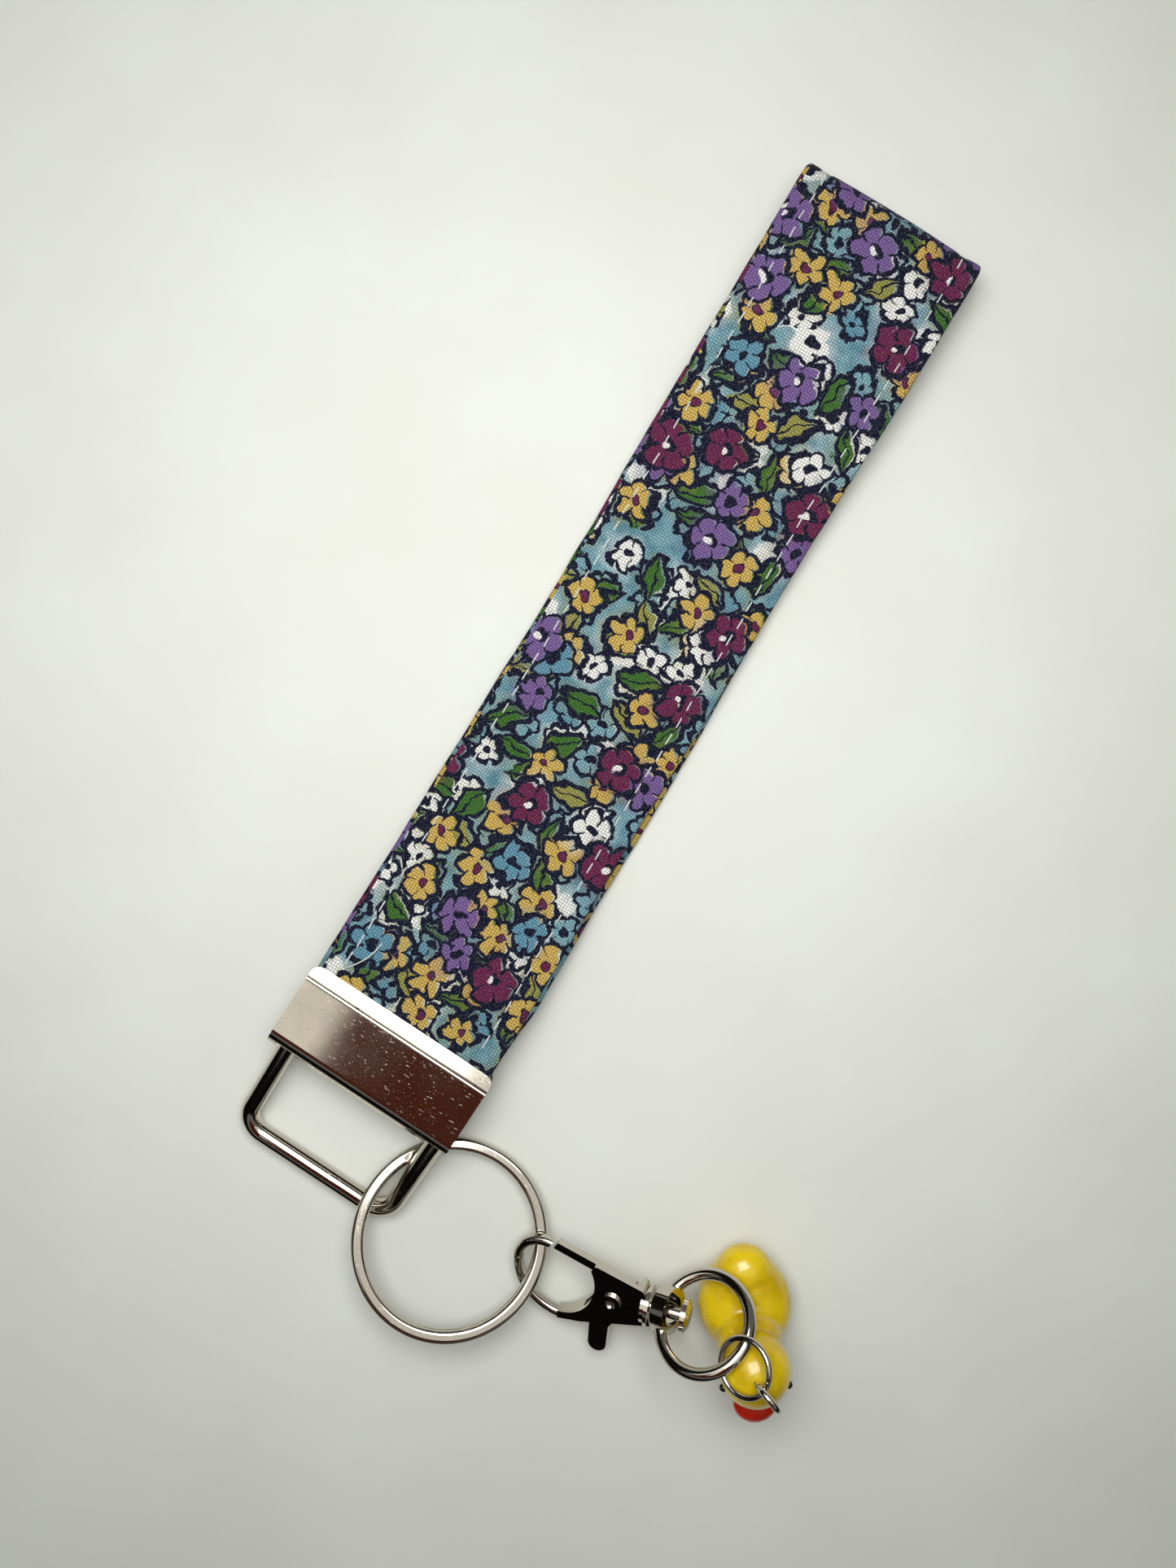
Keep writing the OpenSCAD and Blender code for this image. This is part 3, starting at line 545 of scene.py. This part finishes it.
# One stitch along Y, its ends drawn down into the cloth.
def stitchShape():
    reach = (stitch["pitch"] - stitch["gap"]) / 2
    path = [(0, reach * t, 0.16 - 0.42 * abs(t) ** 3.2) for t in (-1, -0.85, -0.6, -0.3, 0, 0.3, 0.6, 0.85, 1)]
    return meshObject("stitchShape", *tube(path, stitch["threadRadius"]), sewingThread)


# Guide points of one edge's row, on the outside and inside faces of the strap.
def stitchRows(name, side, replaced):
    points, along, out = [], [], []
    luck = random.Random(11 if side < 0 else 12)
    count = int((total - 24) / stitch["pitch"])
    for k in range(count + 1):
        s = 12 + k * stitch["pitch"]
        i = min(range(len(lengths)), key=lambda j: abs(lengths[j] - s))
        x = side * grooveX + luck.uniform(-1, 1) * stitch["wander"]
        for face in (1, -1):
            depth = face * (half + clothDepth(side * grooveX, s) * (1.0 if face > 0 else 0.55) + 0.02)
            p = line[i] + outs[i] * depth
            points.append((x + sideShift(s), p.y, p.z))
            lean = Vector((luck.uniform(-0.05, 0.05), 0, 0))
            along.append((ways[i] + lean).normalized())
            out.append(outs[i] * face)
    guide = meshObject(name + "Guide", points, [], None)
    for key, values in (("along", along), ("out", out)):
        layer = guide.data.attributes.new(key, "FLOAT_VECTOR", "POINT")
        layer.data.foreach_set("vector", [c for v in values for c in v])
    added = guide.modifiers.new("stitches", "NODES")
    added.node_group = rowTree
    for item in rowTree.interface.items_tree:
        if item.in_out == "INPUT" and item.name in ("Stitch", "Gauge", "Thread"):
            added[item.identifier] = {"Stitch": shape, "Gauge": 1.0, "Thread": sewingThread}[item.name]
    made = baked(guide, name)
    made.data.polygons.foreach_set("use_smooth", [True] * len(made.data.polygons))
    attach(made, "strap")
    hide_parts(replaced)
    return made


rowTree, shape = stitchTree(), stitchShape()
bpy.context.view_layer.update()
stitchRows("topstitchLeft", -1, "stitch_left")
stitchRows("topstitchRight", 1, "stitch_right")
bpy.data.objects.remove(shape)


tail = {"length": 6.5, "threadRadius": 0.11}


# Loose end of thread that comes out of the seam beside the clamp.
def buildTail():
    start = max(range(len(lengths)), key=lambda j: -abs(lengths[j] - (total - 12.5)))
    base = line[start] + outs[start] * (half + 0.05)
    reach = tail["length"]
    path = [(-grooveX + 0.3 + sideShift(lengths[start]) + reach * (0.42 * t + 0.1 * math.sin(3 * t)),
             base.y - 1.6 + reach * 0.95 * t, base.z + 0.12 + 0.75 * math.sin(math.pi * min(t * 1.1, 1)) - 0.3 * t)
            for t in (k / 14 for k in range(15))]
    made = meshObject("threadTail", *tube(path, tail["threadRadius"], 8), sewingThread)
    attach(made, "strap")
    return made


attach(strapCloth, "strap")
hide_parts("strap_cover")
buildTail()
print("stitches")


duckTurn = Matrix.Rotation(math.radians(duck["heading"]), 4, "Z")
duckPlace = Matrix.Translation(Vector((*duck["origin"], 0)) * mm) @ duckTurn


# Adds an ellipsoid, with another length behind its middle if rear is given.
def egg(bm, centre, radii, tilt=(0, 0, 0), rear=None):
    made = bmesh.ops.create_uvsphere(bm, u_segments=48, v_segments=32, radius=1)["verts"]
    turn = Euler([math.radians(a) for a in tilt]).to_matrix()
    for v in made:
        r = Vector(radii)
        if rear is not None and v.co.x < 0:
            r.x = rear
        v.co = (Vector(centre) + turn @ Vector((v.co.x * r.x, v.co.y * r.y, v.co.z * r.z))) * mm


# Joins rounded shapes into one smooth skin and puts it in the duck's place.
def sculpt(name, shapes, voxel, smooth, look, floor=None):
    bm = bmesh.new()
    for form in shapes:
        egg(bm, *form)
    mesh = bpy.data.meshes.new(name)
    bm.to_mesh(mesh)
    bm.free()
    rough = bpy.data.objects.new(name + "Rough", mesh)
    bpy.context.scene.collection.objects.link(rough)
    skin = rough.modifiers.new("skin", "REMESH")
    skin.mode = "VOXEL"
    skin.voxel_size = voxel * mm
    soft = rough.modifiers.new("soft", "SMOOTH")
    soft.factor, soft.iterations = 0.5, smooth
    made = baked(rough, name)
    for v in made.data.vertices:
        if floor is not None and v.co.z < floor * mm:
            v.co.z = floor * mm
    made.data.transform(duckPlace)
    made.data.materials.clear()
    made.data.materials.append(look)
    made.data.polygons.foreach_set("use_smooth", [True] * len(made.data.polygons))
    return made


duckBody = sculpt("duckBody", [
    ((0.8, 0, 4.75), (7.0, duck["width"] / 2, 5.2), (0, 0, 0), 8.3),
    ((-1.2, 0, 5.1), (6.0, 6.1, 4.7), (0, 6, 0), 7.2),
    ((-4.4, 0, 5.9), (4.9, 4.5, 3.9), (0, 18, 0)),
    ((4.3, 0, 8.3), (5.0, 4.9, 4.7), (0, 20, 0)),
    ((6.2, 0, 13.8), (5.32, 5.32, 5.32)),
    ((8.5, 0, 13.1), (3.1, 3.6, 3.4), (0, 14, 0)),
], duck["voxel"], 14, yellowEnamel, 0.02)
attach(duckBody, "charm")
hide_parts("duck_body")
duckBill = sculpt("duckBill", [
    ((11.6, 0, 12.75), (3.2, 3.3, 1.3), (0, 10, 0)),
    ((12.3, 0, 12.6), (2.6, 2.3, 1.1), (0, 12, 0)),
    ((11.6, 0, 11.75), (2.1, 2.4, 0.95), (0, 18, 0)),
    ((11.0, 0, 12.5), (1.3, 2.7, 1.7), (0, 14, 0)),
], 0.14, 6, redEnamel)
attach(duckBill, "charm")
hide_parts("duck_bill")
print("duck", len(duckBody.data.polygons), len(duckBill.data.polygons))

looks = {"strap_core": interfacing, "clamp_shell": clampNickel, "clamp_loop": brightNickel, "split_ring": brightNickel,
         "hook_body": brightNickel, "gate_lever": brightNickel, "gate_rivet": brightNickel, "gate_spring": springSteel,
         "swivel_post": brightNickel, "swivel_eye": brightNickel, "jump_ring": brightNickel, "screw_eye": brightNickel,
         "duck_eyes": blackEnamel}
edges = {"clamp_shell": 0.12, "hook_body": 0.14, "gate_lever": 0.16, "gate_rivet": 0.08, "swivel_post": 0.1,
         "swivel_eye": 0.12}  # width of the worn edges, mm
for name, look in looks.items():
    part = nodes[name]
    part.data.materials.clear()
    part.data.materials.append(look)
    for face in part.data.polygons:
        face.use_smooth = True
        face.material_index = 0
    if name in edges:
        worn = part.modifiers.new("wornEdges", "BEVEL")
        worn.width, worn.segments = edges[name] * mm, 2
        worn.limit_method, worn.angle_limit = "ANGLE", math.radians(40)
        worn.harden_normals = True
print("metals")

stage = {"half": 900, "level": -0.15}  # half the board's side, and its height just under the cloth, mm
corners = [(x * stage["half"], y * stage["half"], stage["level"]) for x, y in ((-1, -1), (1, -1), (1, 1), (-1, 1))]
floor = meshObject("board", corners, [(0, 1, 2, 3)], floorPaint())


# A flat reflector that only shows in glossy surfaces.
def card(name, code, strength, centre, size, turn):
    made, tree, shader = material(name)
    glow = node(tree, "ShaderNodeEmission", {"Color": linear(code), "Strength": strength})
    tree.links.new(glow.outputs[0], tree.nodes["Material Output"].inputs["Surface"])
    w, h = size[0] / 2, size[1] / 2
    board = meshObject(name, [(-w, -h, 0), (w, -h, 0), (w, h, 0), (-w, h, 0)], [(0, 1, 2, 3)], made)
    turned = Euler([math.radians(a) for a in turn]).to_matrix().to_4x4()
    board.matrix_world = Matrix.Translation(Vector(centre) * mm) @ turned
    board.visible_camera = board.visible_diffuse = board.visible_shadow = board.visible_transmission = False
    return board


card("frontCard", "#0E0C0B", 1.0, (40, -520, 140), (1100, 300), (90, 0, 0))
card("leftCard", "#141110", 1.0, (-470, -40, 150), (320, 900), (0, 90, 0))
card("rightCard", "#141110", 1.0, (560, -40, 150), (320, 900), (0, 90, 0))
card("brownCard", "#4C2116", 1.0, (-60, -290, 425), (700, 330), (0, 0, 0))
card("whiteCard", "#FFFDF6", 0.8, (-40, 67, 430), (700, 370), (0, 0, 0))
card("sideCard", "#FFFCF2", 1.0, (-104, -190, 415), (130, 170), (0, 0, 0))


def area(name, place, target, size, power, tint):
    light = bpy.data.lights.new(name, "AREA")
    light.shape, light.size, light.size_y = "RECTANGLE", size[0] * mm, size[1] * mm
    light.energy, light.color = power, linear(tint)[:3]
    made = bpy.data.objects.new(name, light)
    bpy.context.scene.collection.objects.link(made)
    made.location = Vector(place) * mm
    made.rotation_euler = (Vector(target) - Vector(place)).to_track_quat("-Z", "Y").to_euler()
    return made


area("windowLight", (-24, -6, 212), (-12, -14, 0), (150, 150), 0.54, "#FFFFFD")
area("fillLight", (-260, -60, 330), (20, -30, 0), (220, 220), 0.12, "#FBFCFF")
world = bpy.data.worlds.new("studio")
bpy.context.scene.world = world
world.use_nodes = True
sky = world.node_tree.nodes["Background"]
sky.inputs["Color"].default_value = linear("#E2E6E4")
sky.inputs["Strength"].default_value = 0.19

camera = {"position": (5.04, -38.71, 186.0), "turn": 31.36, "lens": 27.03}  # mm, degrees, mm
lens = bpy.data.cameras.new("tableCamera")
lens.lens, lens.sensor_width, lens.sensor_fit = camera["lens"], 36.0, "AUTO"
lens.clip_start, lens.clip_end = 0.005, 10.0
eye = bpy.data.objects.new("tableCamera", lens)
bpy.context.scene.collection.objects.link(eye)
eye.location = Vector(camera["position"]) * mm
eye.rotation_euler = (0, 0, math.radians(camera["turn"]))
bpy.context.scene.camera = eye
bpy.context.scene.view_settings.view_transform = "Standard"
print("stage")
